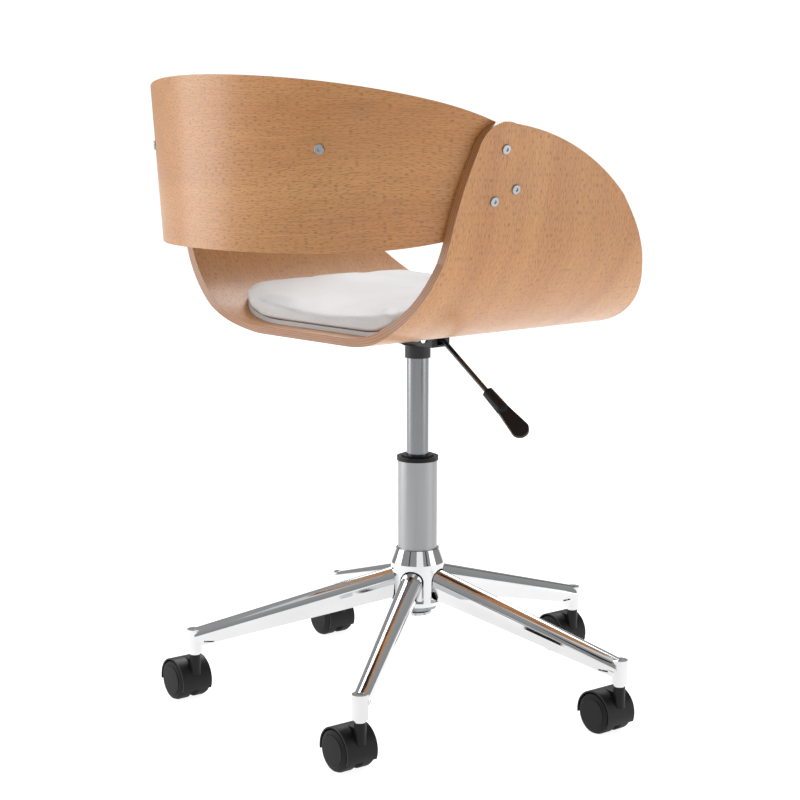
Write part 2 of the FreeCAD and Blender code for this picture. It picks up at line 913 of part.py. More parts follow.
def band_section(z):
    """Plan of the whole band at a height."""
    a, b, c, d, e = band_chain(z, 0)
    f, g, h, i, j = band_chain(z, band_ply)
    outside = [line(a, b), arc(b, c, d), arc(d, e, mirrored(d)), arc(mirrored(d), mirrored(c), mirrored(b))]
    outside += [line(mirrored(b), mirrored(a)), line(mirrored(a), mirrored(f))]
    inside = [line(mirrored(f), mirrored(g)), arc(mirrored(g), mirrored(h), mirrored(i))]
    inside += [arc(mirrored(i), j, i), arc(i, h, g), line(g, f), line(f, a)]
    return Part.Wire(outside + inside)


def band_outline():
    """Side view of the band: tapering forward to a rounded end inside the wings."""
    past = band_back + ply
    end = band_end + band_end_round
    top_slope = (band_back_top - band_middle_top) / (band_back - band_middle)
    top_back = side_point((past, band_back_top + top_slope * ply * 0.8))
    bottom_back = side_point((past, band_back_bottom))
    end_top = side_point((end, band_end_top + 3))
    end_bottom = side_point((end, band_end_bottom - 3))
    nose = side_point((band_end, (band_end_top + band_end_bottom) / 2))
    top = arc(top_back, side_point((band_middle, band_middle_top)), end_top)
    bottom = arc(end_bottom, side_point((band_middle, band_middle_bottom)), bottom_back)
    return [top, arc(end_top, nose, end_bottom), bottom, line(bottom_back, top_back)]


def make_back_band_blank():
    """Bent band in ruled stages: a round back with a corner and a straight side on either hand."""
    rise = (band_stock_top - band_stock_bottom) / band_stages
    heights = [band_stock_bottom + rise * i for i in range(band_stages + 1)]
    stock = Part.makeLoft([band_section(z) for z in heights], True, True)
    band = stock.common(side_prism(band_outline()))
    return band.cut(trough_layer(-ply, ply + fixed_gap))


# Bolts
def wing_bolt_places():
    places = []
    for y, z in (upper_bolt, front_bolt, rear_bolt):
        place = V(wing_face(y, z, 0), y, z)
        places.append((place, wing_normal))
        places.append((mirrored(place), mirrored(wing_normal)))
    return places


def back_bolt_places():
    places = []
    for side in (1, -1):
        outward = V(side * sine(back_bolt_angle), cosine(back_bolt_angle), 0)
        place = back_axis(back_bolt_height) + outward * back_radius(back_bolt_height)
        lean = V(0, 0, -band_back_flare * (1 - cosine(back_bolt_angle)))
        places.append((place, (outward + lean).normalize()))
    return places


def make_bolt(length):
    """Flat-headed bolt with a hex socket, its shank running down from the seat at the origin."""
    head = disc(bolt_head_radius, running_gap, bolt_head_height)
    edge = [e for e in head.Edges if e.Vertexes[0].Z > bolt_head_height / 2 and len(e.Vertexes) == 1]
    head = head.makeChamfer(bolt_head_height / 4, edge)
    socket_bottom_z = bolt_head_height - hex_socket_depth
    head = head.cut(moved(hexagon(hex_socket_radius, bolt_head_height), V(0, 0, socket_bottom_z)))
    return head.fuse(disc(bolt_radius, -length, running_gap)).removeSplitter()


def make_sleeve_nut(grip, depth):
    """Sleeve nut from the inside: its head lies a grip away from the bolt's seat."""
    barrel = disc(sleeve_nut_radius, -grip, -grip + depth)
    head = disc(sleeve_nut_head_radius, -grip - sleeve_nut_head, -grip)
    bore = disc(bolt_radius + fixed_gap, -grip, -grip + depth + 1)
    return barrel.fuse(head).cut(bore).removeSplitter()


def placed_group(shape, places):
    return Part.makeCompound([moved(shape, place, normal) for place, normal in places])


wing_grip = ply + band_ply + 3 * running_gap
wing_nut_depth = band_ply - 1
back_grip = band_ply + back_board_thickness + 2 * running_gap - sleeve_nut_head
back_nut_depth = back_board_thickness - sleeve_nut_head - fixed_gap


def bolt_holes(places, grip, nut_depth):
    holes = []
    shank = disc(bolt_radius + 2 * running_gap, -grip - ply, ply)
    nut = disc(sleeve_nut_radius + running_gap, -grip - ply, -grip + nut_depth + running_gap)
    for place, normal in places:
        holes.append(moved(shank, place, normal))
        holes.append(moved(nut, place, normal))
    return holes


# Seat pad
def tapered_block(half_x, y0, y1, height, draw):
    """Block on the shell's underside level whose four sides lean in by a draw."""
    wedge = Part.makeWedge(
        -half_x, 0, -y1, -y1 + draw, -half_x + draw, half_x, height, -y0, -y0 - draw, half_x - draw
    )
    wedge.rotate(V(0, 0, 0), V(1, 0, 0), 90)
    wedge.translate(V(0, 0, shell_bottom))
    return wedge


def pad_outline(inset):
    """Block with round corners in plan and sides that are drawn in upwards."""
    half = pad_half_width - inset
    front = pad_front + inset
    rear = pad_rear - inset
    corner = pad_corner - inset
    height = pad_rear
    draw = pad_draft * height
    wide = tapered_block(half, front + corner - draw, rear - corner + draw, height, draw)
    deep = tapered_block(half - corner + draw, front, rear, height, draw)
    corners = [
        Part.makeCone(corner, corner - draw, height, V(x, y, shell_bottom))
        for x in (-half + corner, half - corner)
        for y in (front + corner, rear - corner)
    ]
    return wide.common(strip_y(front + corner, rear - corner)).fuse(
        [deep.common(strip_x(half - corner))] + corners
    )


def strip_y(y0, y1):
    return block(-2 * pad_half_width, 2 * pad_half_width, y0, y1, 0, band_stock_top)


def strip_x(half):
    return block(-half, half, 2 * pad_front, 2 * pad_rear, 0, band_stock_top)


def make_pad_board():
    layer = trough_layer(ply + fixed_gap, ply + board_thickness)
    board = layer.common(pad_outline(board_inset))
    seats = []
    for point in screw_points():
        flange = disc(t_nut_flange_radius + running_gap, t_nut_top - t_nut_flange - fixed_gap, t_nut_top + 1)
        barrel = disc(t_nut_radius + running_gap, shell_bottom, t_nut_top)
        seats += [turned_copy(flange, 0, point), turned_copy(barrel, 0, point)]
    return board.cut(seats)


def make_seat_pad():
    """Upholstered pad: bent with the shell below, crowned above, its sides drawn in."""
    base = ply + board_thickness + seat_gap
    middle = (pad_front + pad_rear) / 2
    top = shell_bottom + base + pad_centre_thickness
    hollow_centre = top + pad_hollow_radius
    end_top = top - pad_end_drop
    reach = pad_rear - middle + ply
    a = V(0, middle - reach, end_top)
    b = V(0, middle, top)
    c = V(0, middle + reach, end_top)
    up = V(0, 0, pad_hollow_radius)
    profile = Part.Wire([arc(a, b, c), line(c, c + up), line(c + up, a + up), line(a + up, a)])
    room = Part.Face(profile).revolve(V(0, 0, hollow_centre), V(0, 1, 0), 360)
    pad = pad_outline(0).cut(room)
    return pad.cut(trough_layer(-4 * ply, base))


# Back pad
def make_back_board():
    bottom = back_pad_bottom + back_pad_edge
    top = back_pad_bottom + back_pad_height - back_pad_edge
    outer = band_ply + back_board_gap
    inner = outer + back_board_thickness
    sheet = back_core([(bottom, outer), (top, outer)]).cut(back_core([(bottom, inner), (top, inner)]))
    half = back_radius((bottom + top) / 2) * sine(back_board_half_angle)
    board = sheet.common(block(-half, half, band_middle, 2 * band_back, bottom, top))
    recess = disc(sleeve_nut_head_radius + running_gap, -back_grip - ply, -back_grip + fixed_gap)
    return board.cut([moved(recess, place, normal) for place, normal in back_bolt_places()])


def make_back_pad():
    """Pad bent round the inside of the back, crowned in front, with drawn-in ends."""
    low = back_pad_bottom
    high = back_pad_bottom + back_pad_height
    edge = back_pad_edge
    behind = band_ply + back_board_gap + back_board_thickness + seat_gap
    rim = behind + back_pad_thickness * back_pad_rim
    outer = back_core([(low, rim), (low + edge, behind), (high - edge, behind), (high, rim)])
    levels = []
    for step in range(back_pad_stages + 1):
        share = 2.0 * step / back_pad_stages - 1.0
        crown = 1.0 - (1.0 - back_pad_rim) * share ** 2
        level = low + back_pad_height * step / back_pad_stages
        levels.append((level, behind + back_pad_thickness * crown + seat_gap))
    bent = outer.cut(back_core(levels))
    half = back_radius((low + high) / 2) * sine(back_pad_half_angle)
    round_block = block(-half, half, band_middle, band_back, low - 1, high + 1)
    along = [e for e in round_block.Edges if abs(e.Vertexes[0].Y - e.Vertexes[-1].Y) > ply]
    return bent.common(round_block.makeFillet(back_pad_corner, along))


def build():
    nodes = {}
    nodes["hub"] = make_hub()
    leg = make_leg()
    stem = make_stem()
    sleeve = make_stem_sleeve()
    caster_body = make_caster_body()
    axle = make_axle()
    wheels = {"left": make_wheel(1), "right": make_wheel(-1)}
    sleeves = []
    for number, angle in enumerate(leg_angles, start=1):
        place = at_stem(angle)
        nodes["leg_%d" % number] = turned_copy(leg, angle)
        nodes["caster_stem_%d" % number] = turned_copy(stem, 0, place)
        sleeves.append(turned_copy(sleeve, 0, place))
        nodes["caster_body_%d" % number] = turned_copy(caster_body, caster_heading, place)
        nodes["caster_axle_%d" % number] = turned_copy(axle, caster_heading, place)
        for side, wheel in wheels.items():
            nodes["wheel_%d_%s" % (number, side)] = turned_copy(wheel, caster_heading, place)
    nodes["stem_sleeves"] = Part.makeCompound(sleeves)

    nodes["column_tube"] = make_column_tube()
    nodes["column_bush"] = make_column_bush()
    nodes["thrust_bearing"] = make_thrust_bearing()
    nodes["bearing_washer"] = make_bearing_washer()
    nodes["lift_rod"] = make_lift_rod()
    nodes["stop_cushion"] = make_stop_cushion()
    nodes["retaining_clip"] = make_clip()
    nodes["piston"] = make_piston()
    nodes["gas_cylinder"] = make_gas_cylinder()
    nodes["rod_guide"] = make_rod_guide()
    nodes["valve_block"] = make_valve_block()
    nodes["release_button"] = make_button()

    nodes["seat_plate"] = make_seat_plate()
    nodes["plate_screws"] = at_screws(make_plate_screw())
    nodes["t_nuts"] = at_screws(make_t_nut())
    nodes["lever_rod"] = make_lever_rod()
    nodes["lever_grip"] = make_lever_grip()
    nodes["lever_pin"] = make_lever_pin()

    wing_places = wing_bolt_places()
    back_places = back_bolt_places()
    wing_holes = bolt_holes(wing_places, wing_grip, wing_nut_depth)
    back_holes = bolt_holes(back_places, back_grip, back_nut_depth)
    barrel_hole = disc(t_nut_radius + running_gap, 0, shell_z_seat + 1)
    shell_holes = wing_holes + [turned_copy(barrel_hole, 0, point) for point in screw_points()]
    nodes["seat_shell"] = make_seat_shell_blank().cut(shell_holes)
    nodes["back_band"] = make_back_band_blank().cut(wing_holes + back_holes)
    nodes["wing_bolts"] = placed_group(make_bolt(wing_grip - running_gap), wing_places)
    nodes["wing_nuts"] = placed_group(make_sleeve_nut(wing_grip, wing_nut_depth), wing_places)
    nodes["back_bolts"] = placed_group(make_bolt(back_grip - running_gap), back_places)
    nodes["back_nuts"] = placed_group(make_sleeve_nut(back_grip, back_nut_depth), back_places)
    nodes["seat_board"] = make_pad_board()
    nodes["seat_pad"] = make_seat_pad()
    nodes["back_board"] = make_back_board().cut(back_holes)
    nodes["back_pad"] = make_back_pad()
    return nodes


os.makedirs("parts", exist_ok=True)
for name, shape in build().items():
    shape.exportStep("parts/" + name + ".step")
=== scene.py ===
import json
import math

import bmesh
import bpy
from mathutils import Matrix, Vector


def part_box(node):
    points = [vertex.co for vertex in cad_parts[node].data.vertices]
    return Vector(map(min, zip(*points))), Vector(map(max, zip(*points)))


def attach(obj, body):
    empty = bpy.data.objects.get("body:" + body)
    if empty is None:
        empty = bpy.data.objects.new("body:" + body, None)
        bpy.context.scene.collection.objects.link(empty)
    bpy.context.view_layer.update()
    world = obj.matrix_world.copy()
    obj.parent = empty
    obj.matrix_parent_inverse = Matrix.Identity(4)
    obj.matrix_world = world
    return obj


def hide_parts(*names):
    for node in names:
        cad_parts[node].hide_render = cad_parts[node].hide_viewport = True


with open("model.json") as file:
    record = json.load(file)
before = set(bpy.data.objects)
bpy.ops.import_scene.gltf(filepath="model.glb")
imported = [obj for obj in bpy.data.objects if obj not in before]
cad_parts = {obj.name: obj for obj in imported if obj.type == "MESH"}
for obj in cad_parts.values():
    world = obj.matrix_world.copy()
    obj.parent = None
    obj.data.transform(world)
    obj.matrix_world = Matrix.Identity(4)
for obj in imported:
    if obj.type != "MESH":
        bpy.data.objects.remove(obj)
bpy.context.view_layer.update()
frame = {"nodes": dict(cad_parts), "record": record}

# Camera, from the photograph: metres, degrees and millimetres of lens
camera_turn = 227.5
camera_distance = 2.208
camera_height = 0.750
camera_pitch = 9.303
camera_yaw = -0.58
camera_lens = 79.67
camera_sensor = 36.0

# Grain of the bent veneers, each following its own bend: metres
shell_grain_height = 0.75
shell_grain_radius = 0.27
band_grain_centre = 0.043
band_grain_radius = 0.285

# Cells per metre along and across the grain
drift_cells = (3.0, 7.0)
cathedral_cells = (1.6, 20.0)
fibre_cells = (22.0, 520.0)
patch_cells = (4.0, 6.0)
fleck_cells = (170.0, 1000.0)
drift_reach = 0.05
patch_seed_step = 9
fleck_shade = 0.42

# Plies in the cut edges: metres, and the slope of the wings
ply_thickness = 0.0015
wing_sine = 0.208
wing_cosine = 0.978
bend_centre_height = 0.669
bend_centre_reach = 0.08
bend_end_height = 0.64

# Which faces are cut edges: parts of a unit normal, and metres
flat_floor = 0.999
shell_cut_limit = 0.004
band_cut_limit = 0.02
band_rim_rise = 0.4
band_end_depth = 0.1

# Cells per metre in the metals, plastics and covers
metal_cloud_cells = 14.0
smear_cells = 30.0
pebble_cells = 620.0
crease_cells = 55.0
cover_cloud_cells = 9.0
edge_grain_cells = 700.0
edge_wear_cells = 40.0

# Soft pieces: metres
voxel = 0.005
round_passes = 7
cloth_pressure = 4.0
cloth_frames = 20
cloth_stiffness = 25.0
swell_cap = 0.005
held_height = 0.004
held_end_height = 0.02
held_end_reach = 0.17

# Studio: metres, strengths and watts
floor_size = 30.0
floor_glow = 0.9
floor_mottle_cells = 3.0
backdrop_glow = 1.05
sky_low = 0.34
sky_high = 0.42
sky_top = 0.8
aim_height = 0.45
card_height = 2.6
white = (1.0, 1.0, 1.0)

# Lights: name, turn from the camera, elevation, distance, size, power
lights = [
    ("key_left", -95, 15, 2.4, (1.4, 2.2), 33),
    ("fill_right", 75, 5, 2.6, (1.2, 1.8), 12),
    ("front_soft", 12, 35, 3.0, (1.6, 1.6), 7),
    ("top_soft", 0, 80, 2.4, (2.4, 2.4), 8),
    ("inside_soft", 180, 48, 2.6, (1.8, 1.8), 56),
]

# Cards: name, turn from the camera, distance, width
cards = [
    ("card_left", -38, 3.6, 0.3),
    ("card_right", 45, 3.4, 0.3),
    ("card_behind", 150, 3.6, 0.4),
]


# Node helpers
def new_material(name):
    material = bpy.data.materials.new(name)
    material.use_nodes = True
    return material, material.node_tree, material.node_tree.nodes["Principled BSDF"]


def feed(tree, value, socket):
    if isinstance(value, bpy.types.NodeSocket):
        tree.links.new(value, socket)
    else:
        socket.default_value = value


def calc(tree, operation, a, b=0.0, c=0.0):
    node = tree.nodes.new("ShaderNodeMath")
    node.operation = operation
    for value, socket in zip((a, b, c), node.inputs):
        feed(tree, value, socket)
    return node.outputs[0]


def place(tree):
    """The three coordinates of a point on the piece, in metres."""
    coordinates = tree.nodes.new("ShaderNodeTexCoord")
    split = tree.nodes.new("ShaderNodeSeparateXYZ")
    tree.links.new(coordinates.outputs["Object"], split.inputs[0])
    return split.outputs[0], split.outputs[1], split.outputs[2]


def vector(tree, x, y, z):
    join = tree.nodes.new("ShaderNodeCombineXYZ")
    for value, socket in zip((x, y, z), join.inputs):
        feed(tree, value, socket)
    return join.outputs[0]


def noise(tree, where, scale, detail=2.0, roughness=0.5):
    node = tree.nodes.new("ShaderNodeTexNoise")
    tree.links.new(where, node.inputs["Vector"])
    node.inputs["Scale"].default_value = scale
    node.inputs["Detail"].default_value = detail
    node.inputs["Roughness"].default_value = roughness
    return node.outputs[0]


def grain_noise(tree, along, across, cells, seed, detail=2.0):
    """Noise whose cells are long along the grain and short across it."""
    x = calc(tree, "MULTIPLY", along, cells[0])
    y = calc(tree, "MULTIPLY", across, cells[1])
    return noise(tree, vector(tree, x, y, seed), 1.0, detail)


def between(tree, value, low, high, out_low=0.0, out_high=1.0):
    node = tree.nodes.new("ShaderNodeMapRange")
    feed(tree, value, node.inputs[0])
    for number, socket in zip((low, high, out_low, out_high), node.inputs[1:5]):
        socket.default_value = number
    return node.outputs[0]


def blend_colours(tree, share, a, b, kind="MIX"):
    node = tree.nodes.new("ShaderNodeMix")
    node.data_type = "RGBA"
    node.blend_type = kind
    feed(tree, share, node.inputs["Factor"])
    for value, socket in ((a, node.inputs[6]), (b, node.inputs[7])):
        feed(tree, value if isinstance(value, bpy.types.NodeSocket) else (*value, 1.0), socket)
    return node.outputs[2]


def darken(tree, tone, shade):
    """A colour times one shade in all three channels."""
    return blend_colours(tree, 1.0, tone, vector(tree, shade, shade, shade), "MULTIPLY")


def bump(tree, shader, height, strength, distance):
    node = tree.nodes.new("ShaderNodeBump")
    node.inputs["Strength"].default_value = strength
    node.inputs["Distance"].default_value = distance
    tree.links.new(height, node.inputs["Height"])
    tree.links.new(node.outputs[0], shader.inputs["Normal"])


def settings(shader, **values):
    for name, value in values.items():
        shader.inputs[name.replace("_", " ")].default_value = value


# Wood
def shell_grain(tree):
    """Along the grain, which climbs the wings, and across it."""
    x, y, z = place(tree)
    angle = calc(tree, "ARCTAN2", x, calc(tree, "SUBTRACT", shell_grain_height, z))
    return calc(tree, "MULTIPLY", angle, shell_grain_radius), y


def band_grain(tree):
    """Along the grain, which runs round the back, and across it."""
    x, y, z = place(tree)
    angle = calc(tree, "ARCTAN2", x, calc(tree, "SUBTRACT", y, band_grain_centre))
    return calc(tree, "MULTIPLY", angle, band_grain_radius), z


def beech(name, grain, seed):
    """Lacquered beech veneer: drifting bands, fine fibres and short dark flecks."""
    material, tree, shader = new_material(name)
    along, across = grain(tree)
    drift = grain_noise(tree, along, across, drift_cells, seed)
    waver = calc(tree, "MULTIPLY_ADD", drift, drift_reach, across)
    band = grain_noise(tree, along, waver, cathedral_cells, seed, 4.0)
    fibre = grain_noise(tree, along, waver, fibre_cells, seed, 3.0)
    patch = grain_noise(tree, along, across, patch_cells, seed + patch_seed_step)
    dash = grain_noise(tree, along, waver, fleck_cells, seed, 0.0)
    tone = blend_colours(tree, between(tree, band, 0.34, 0.70), beech_light, beech_dark)
    tone = blend_colours(tree, between(tree, patch, 0.35, 0.7, 0.0, 0.7), tone, beech_rosy)
    tone = darken(tree, tone, between(tree, fibre, 0.3, 0.7, 0.86, 1.07))
    marks = between(tree, dash, 0.56, 0.70, 0.0, 0.58)
    deep = tuple(part * fleck_shade for part in beech_dark)
    tree.links.new(blend_colours(tree, marks, tone, deep), shader.inputs["Base Color"])
    tree.links.new(between(tree, fibre, 0.2, 0.8, 0.36, 0.5), shader.inputs["Roughness"])
    bump(tree, shader, calc(tree, "SUBTRACT", fibre, marks), 0.25, 0.0003)
    settings(shader, Coat_Weight=0.25, Coat_Roughness=0.22, Specular_IOR_Level=0.45)
    return material


def ply_edge(name, depth):
    """Sawn and lacquered edge: thin plies of long and end grain in turn."""
    material, tree, shader = new_material(name)
    x, y, z = place(tree)
    layer = calc(tree, "PINGPONG", depth(tree), ply_thickness)
    ply = between(tree, layer, ply_thickness * 0.3, ply_thickness * 0.7)
    grain = noise(tree, vector(tree, x, y, z), edge_grain_cells, 3.0)
    wear = noise(tree, vector(tree, x, y, z), edge_wear_cells, 2.0)
    tone = blend_colours(tree, ply, edge_light, edge_dark)
    fine = between(tree, grain, 0.3, 0.7, 0.9, 1.06)
    broad = between(tree, wear, 0.3, 0.7, 0.92, 1.05)
    tree.links.new(darken(tree, tone, calc(tree, "MULTIPLY", fine, broad)), shader.inputs["Base Color"])
    bump(tree, shader, calc(tree, "ADD", ply, grain), 0.2, 0.0002)
    settings(shader, Roughness=0.42, Coat_Weight=0.2, Coat_Roughness=0.25)
    return material


def shell_depth(tree):
    """Distance through the shell: straight through the wings, round the bend below."""
    x, y, z = place(tree)
    side = calc(tree, "ABSOLUTE", x)
    wing = calc(tree, "MULTIPLY_ADD", z, -wing_sine, calc(tree, "MULTIPLY", side, wing_cosine))
    low = calc(tree, "POWER", calc(tree, "SUBTRACT", bend_centre_height, z), 2.0)
    out = calc(tree, "MAXIMUM", calc(tree, "SUBTRACT", side, bend_centre_reach), 0.0)
    bend = calc(tree, "SQRT", calc(tree, "ADD", low, calc(tree, "POWER", out, 2.0)))
    high = calc(tree, "GREATER_THAN", z, bend_end_height)
    return calc(tree, "MULTIPLY_ADD", high, calc(tree, "SUBTRACT", wing, bend), bend)


def band_depth(tree):
    """Distance from the axis that the band is bent round."""
    x, y, z = place(tree)
    back = calc(tree, "POWER", calc(tree, "SUBTRACT", y, band_grain_centre), 2.0)
    return calc(tree, "SQRT", calc(tree, "ADD", back, calc(tree, "POWER", x, 2.0)))


# Metals, plastics and covers
def metal(name, colour, roughness, spread, cells, brushed=1.0, scratch=0.02):
    """Metal with a faint unevenness, drawn out along Z where it is brushed or polished that way."""
    material, tree, shader = new_material(name)
    x, y, z = place(tree)
    where = vector(tree, x, y, calc(tree, "MULTIPLY", z, 1.0 / brushed))
    grain = noise(tree, where, cells, 3.0)
    cloud = noise(tree, where, metal_cloud_cells, 2.0)
    dull = tuple(part * 0.94 for part in colour)
    tone = blend_colours(tree, between(tree, cloud, 0.3, 0.7), dull, colour)
    tree.links.new(tone, shader.inputs["Base Color"])
    tree.links.new(between(tree, grain, 0.3, 0.7, roughness, roughness + spread), shader.inputs["Roughness"])
    bump(tree, shader, grain, scratch, 0.0001)
    settings(shader, Metallic=1.0)
    return material


def moulded(name, colour, roughness, grain_size, depth, coat=0.0, shine=0.35):
    """Moulded plastic or lacquer with a fine spark-eroded grain and a handled sheen."""
    material, tree, shader = new_material(name)
    x, y, z = place(tree)
    where = vector(tree, x, y, z)
    grain = noise(tree, where, 1.0 / grain_size, 2.0)
    smear = noise(tree, where, smear_cells, 3.0)
    pale = tuple(part * 1.4 + 0.002 for part in colour)
    tone = blend_colours(tree, between(tree, smear, 0.4, 0.8), colour, pale)
    tree.links.new(tone, shader.inputs["Base Color"])
    tree.links.new(between(tree, smear, 0.3, 0.7, roughness, roughness + 0.12), shader.inputs["Roughness"])
    bump(tree, shader, grain, 0.35, depth)
    settings(shader, Coat_Weight=coat, Coat_Roughness=0.15, Specular_IOR_Level=shine)
    return material


def leatherette(name, colour):
    """White coated cover: pebbled grain with painted shade in the hollows between the pebbles, faint creases
    and a soft sheen.
    """
    material, tree, shader = new_material(name)
    x, y, z = place(tree)
    where = vector(tree, x, y, z)
    cells = tree.nodes.new("ShaderNodeTexVoronoi")
    cells.feature = "SMOOTH_F1"
    cells.inputs["Scale"].default_value = pebble_cells
    tree.links.new(where, cells.inputs["Vector"])
    crease = noise(tree, where, crease_cells, 5.0, 0.6)
    cloud = noise(tree, where, cover_cloud_cells, 2.0)
    grey = tuple(part * 0.9 for part in colour)
    tone = blend_colours(tree, between(tree, cloud, 0.35, 0.65), grey, colour)
    # Painted shade: the base colour darkens by up to 7 percent towards the hollows between the pebbles.
    valley_shade = between(tree, cells.outputs["Distance"], 0.1, 0.6, 1.0, 0.93)
    tree.links.new(darken(tree, tone, valley_shade), shader.inputs["Base Color"])
    pebble = calc(tree, "MULTIPLY", cells.outputs["Distance"], -0.6)
    bump(tree, shader, calc(tree, "MULTIPLY_ADD", crease, 2.5, pebble), 0.3, 0.0006)
    settings(shader, Roughness=0.48, Sheen_Weight=0.1, Specular_IOR_Level=0.4)
    return material


beech_light = (0.54, 0.268, 0.098)
beech_dark = (0.43, 0.188, 0.062)
beech_rosy = (0.49, 0.208, 0.066)
edge_light = (0.34, 0.15, 0.055)
edge_dark = (0.25, 0.10, 0.036)
materials = {
    "shell": beech("beech_shell", shell_grain, 2.0),
    "band": beech("beech_band", band_grain, 5.0),
    "shell_edge": ply_edge("shell_ply_edge", shell_depth),
    "band_edge": ply_edge("band_ply_edge", band_depth),
    "chrome": metal("chrome_plate", (0.66, 0.665, 0.675), 0.04, 0.03, 90.0),
    "cylinder": metal("cylinder_plate", (0.22, 0.223, 0.23), 0.2, 0.06, 300.0, brushed=40.0, scratch=0.03),
    "satin": metal("satin_lacquer", (0.34, 0.343, 0.35), 0.34, 0.1, 300.0, brushed=40.0, scratch=0.05),
    "steel": metal("drawn_steel", (0.52, 0.53, 0.55), 0.22, 0.14, 500.0, brushed=20.0, scratch=0.1),
    "bolt": metal("zinc_plate", (0.36, 0.37, 0.39), 0.22, 0.16, 700.0, scratch=0.12),
    "brass": metal("turned_brass", (0.72, 0.53, 0.22), 0.2, 0.12, 500.0, scratch=0.1),
    "coat": moulded("powder_coat", (0.018, 0.018, 0.020), 0.4, 0.0006, 0.00008),
    "lacquer": moulded("black_lacquer", (0.012, 0.012, 0.013), 0.2, 0.001, 0.00002, coat=0.4),
    "nylon": moulded("black_nylon", (0.005, 0.005, 0.006), 0.36, 0.0005, 0.00006, shine=0.22),
    "tread": moulded("wheel_tread", (0.006, 0.006, 0.007), 0.5, 0.0008, 0.0001, shine=0.18),
    "rubber": moulded("stop_rubber", (0.022, 0.022, 0.022), 0.7, 0.001, 0.0001),
    "cover": leatherette("white_leatherette", (0.62, 0.62, 0.625)),
}

# The cover wraps round the pad boards, so they wear it too
finishes = {
    "chrome_steel": "chrome",
    "satin_steel": "satin",
    "black_plate": "coat",
    "plain_steel": "steel",
    "black_steel": "lacquer",
    "bolt_steel": "bolt",
    "black_nylon": "nylon",
    "stop_rubber": "rubber",
    "valve_brass": "brass",
    "button_steel": "steel",
    "pad_board_wood": "cover",
}


# Dressing of the CAD nodes
def dress(node, *names):
    slots = frame["nodes"][node].data.materials
    slots.clear()
    for name in names:
        slots.append(materials[name])


def dress_edges(node, face, edge, is_edge):
    """Second material on the faces that the outline cut left through the plies."""
    dress(node, face, edge)
    for polygon in frame["nodes"][node].data.polygons:
        polygon.material_index = 1 if is_edge(polygon.normal, polygon.center) else 0


def shell_cut(normal, centre):
    return abs(normal.x) < shell_cut_limit and abs(normal.z) <= flat_floor


def band_cut(normal, centre):
    return abs(normal.x) < band_cut_limit and (abs(normal.z) > band_rim_rise or centre.y < band_end_depth)


def dress_frame():
    for part in frame["record"]["subparts"]:
        finish = finishes.get(part["material_slot"])
        if finish:
            dress(part["node"], finish)
    for name in frame["nodes"]:
        if name.startswith("wheel_"):
            dress(name, "tread")
    dress("gas_cylinder", "cylinder")
    dress_edges("seat_shell", "shell", "shell_edge", shell_cut)
    dress_edges("back_band", "band", "band_edge", band_cut)


# Soft pieces
def copy_of(node, name):
    source = frame["nodes"][node]
    piece = bpy.data.objects.new(name, source.data.copy())
    bpy.context.scene.collection.objects.link(piece)
    return piece


def use(piece, kind, **values):
    modifier = piece.modifiers.new(kind.lower(), kind)
    for name, value in values.items():
        setattr(modifier, name, value)
    return modifier


def freeze(piece):
    """Puts what the modifiers make into the mesh itself."""
    graph = bpy.context.evaluated_depsgraph_get()
    made = bpy.data.meshes.new_from_object(piece.evaluated_get(graph))
    piece.modifiers.clear()
    piece.data = made


def swell(piece, held):
    """Pressure lifts the cover off its board; held points stay, and the rest move a few millimetres."""
    group = piece.vertex_groups.new(name="held")
    rest = [point.co.copy() for point in piece.data.vertices]
    group.add([i for i, co in enumerate(rest) if held(co)], 1.0, "REPLACE")
    cloth = use(piece, "CLOTH")
    cloth.settings.quality = 5
    cloth.settings.mass = 0.3
    cloth.settings.tension_stiffness = cloth_stiffness
    cloth.settings.compression_stiffness = cloth_stiffness
    cloth.settings.bending_stiffness = 2.0
    cloth.settings.use_pressure = True
    cloth.settings.uniform_pressure_force = cloth_pressure
    cloth.settings.effector_weights.gravity = 0.0
    cloth.settings.vertex_group_mass = group.name
    cloth.point_cache.frame_end = cloth_frames
    for moment in range(1, cloth_frames + 1):
        bpy.context.scene.frame_set(moment)
    freeze(piece)
    for point, start in zip(piece.data.vertices, rest):
        shift = point.co - start
        if shift.length > swell_cap:
            point.co = start + shift.normalized() * swell_cap
    bpy.context.scene.frame_set(1)


def soft_copy(node, name, held):
    """A CAD solid's form with its edges rounded over and its cover swelled."""
    piece = copy_of(node, name)
    use(piece, "REMESH", mode="VOXEL", voxel_size=voxel)
    use(piece, "SMOOTH", factor=0.5, iterations=round_passes)
    freeze(piece)
    swell(piece, held)
    use(piece, "SMOOTH", factor=0.4, iterations=3)
    use(piece, "SUBSURF", levels=1, render_levels=1)
    freeze(piece)
    piece.data.polygons.foreach_set("use_smooth", [True] * len(piece.data.polygons))
    piece.data.materials.clear()
    piece.data.materials.append(materials["cover"])
    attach(piece, "seat")
    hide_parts(node)


def make_seat_cushion():
    """Held on its board, and at its ends, where it climbs the bends."""
    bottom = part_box("seat_pad")[0].z

    def held(co):
        at_end = abs(co.x) > held_end_reach and co.z < bottom + held_end_height
        return co.z < bottom + held_height or at_end

    soft_copy("seat_pad", "seat_cushion", held)


def make_back_cushion():
    """Held on the board behind it."""
    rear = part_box("back_pad")[1].y
    soft_copy("back_pad", "back_cushion", lambda co: co.y > rear - held_height)


# Studio
def add_object(name, mesh):
    thing = bpy.data.objects.new(name, mesh)
    bpy.context.scene.collection.objects.link(thing)
    return thing


def around(turn, distance, height):
    """A point at a turn from the front, a distance out and a height."""
    angle = math.radians(turn)
    return Vector((math.sin(angle) * distance, -math.cos(angle) * distance, height))


